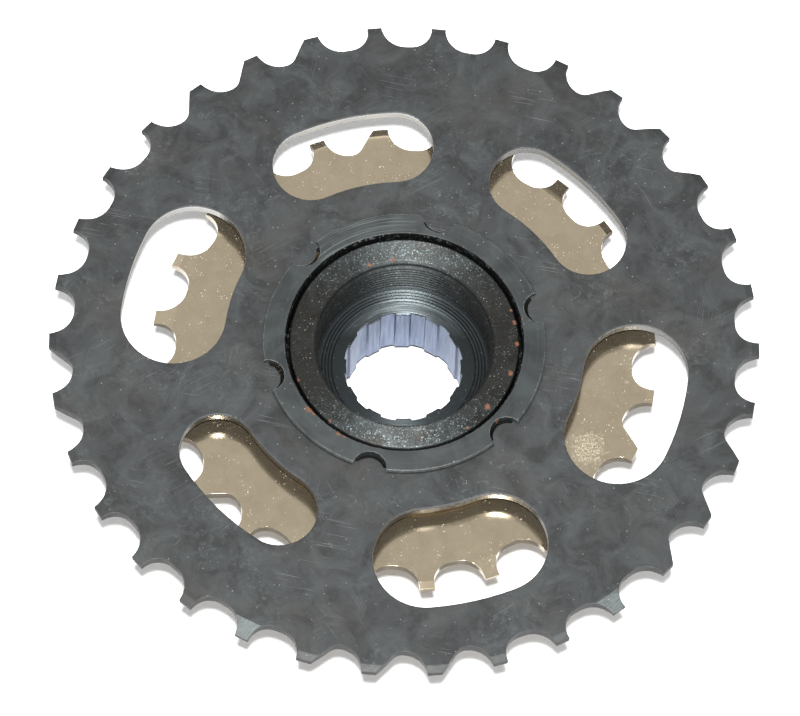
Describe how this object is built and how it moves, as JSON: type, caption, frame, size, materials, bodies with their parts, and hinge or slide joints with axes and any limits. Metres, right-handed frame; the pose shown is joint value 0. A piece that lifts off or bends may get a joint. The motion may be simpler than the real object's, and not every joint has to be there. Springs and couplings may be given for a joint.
{
  "type": "bicycle freewheel sprocket cluster",
  "caption": "Thread-on bicycle freewheel: stacked sprockets on a ratcheting body, with a large windowed rear sprocket, a hub thread and a splined tool socket.",
  "frame": {"origin": "on the axis, in the plane of the smallest sprocket's outer face, on which the cluster stands", "axes": "+Z along the axis of rotation, towards the hub side, where the hub thread opens; +X and +Y in the plane of the sprockets"},
  "size_m": [0.1388, 0.1386, 0.0308],
  "materials": {
    "black_oxide": "black-oxidised rolled steel, mottled, lightly oiled",
    "nickel": "bright nickel plating with a warm tint and fine grain",
    "zinc": "yellow-passivated zinc plating",
    "black_oxide_body": "black-oxidised turned steel with lathe marks",
    "black_oxide_inner": "black-oxidised turned steel, oily, with specks of rust",
    "cone_steel": "hardened turned steel, dark grey",
    "spring_steel": "blued spring steel strip",
    "hardened_steel": "hardened steel, ground",
    "ball_steel": "polished bearing steel"
  },
  "bodies": {
    "inner": {"inner_body": "black_oxide_inner", "front_cone": "cone_steel", "shim_thick": "spring_steel", "shim_thin": "spring_steel", "pawl_leaf_a": "spring_steel", "pawl_leaf_b": "spring_steel"},
    "cluster": {"outer_body": "black_oxide_body", "sprocket_34t": "black_oxide", "sprocket_24t": "nickel", "sprocket_20t": "nickel", "sprocket_18t": "nickel", "sprocket_16t": "nickel", "sprocket_14t": "nickel", "spacer_34_24": "zinc", "spacer_24_20": "zinc", "spacer_20_18": "zinc", "spacer_18_16": "zinc"},
    "rear_ball_row": {"rear_balls": "ball_steel"},
    "front_ball_row": {"front_balls": "ball_steel"},
    "pawl_a": {"pawl_a": "hardened_steel"},
    "pawl_b": {"pawl_b": "hardened_steel"}
  },
  "joints": [
    {"name": "cluster_spin", "type": "hinge", "parent": "inner", "child": "cluster", "pos_m": [0, 0, 0.0165], "axis": [0, 0, 1], "continuous": true},
    {"name": "rear_ball_orbit", "type": "hinge", "parent": "inner", "child": "rear_ball_row", "pos_m": [0, 0, 0.0256], "axis": [0, 0, 1], "continuous": true},
    {"name": "front_ball_orbit", "type": "hinge", "parent": "inner", "child": "front_ball_row", "pos_m": [0, 0, 0.0072], "axis": [0, 0, 1], "continuous": true},
    {"name": "pawl_a_swing", "type": "hinge", "parent": "inner", "child": "pawl_a", "pos_m": [0.01767, 0.0075, 0.015], "axis": [0, 0, 1], "range_deg": [0, 10]},
    {"name": "pawl_b_swing", "type": "hinge", "parent": "inner", "child": "pawl_b", "pos_m": [-0.01767, -0.0075, 0.015], "axis": [0, 0, 1], "range_deg": [0, 10]}
  ],
  "couplings": [
    {"joint": "rear_ball_orbit", "follows": "cluster_spin", "ratio": 0.538},
    {"joint": "front_ball_orbit", "follows": "cluster_spin", "ratio": 0.543},
    {"joint": "pawl_b_swing", "follows": "pawl_a_swing", "ratio": 1}
  ]
}
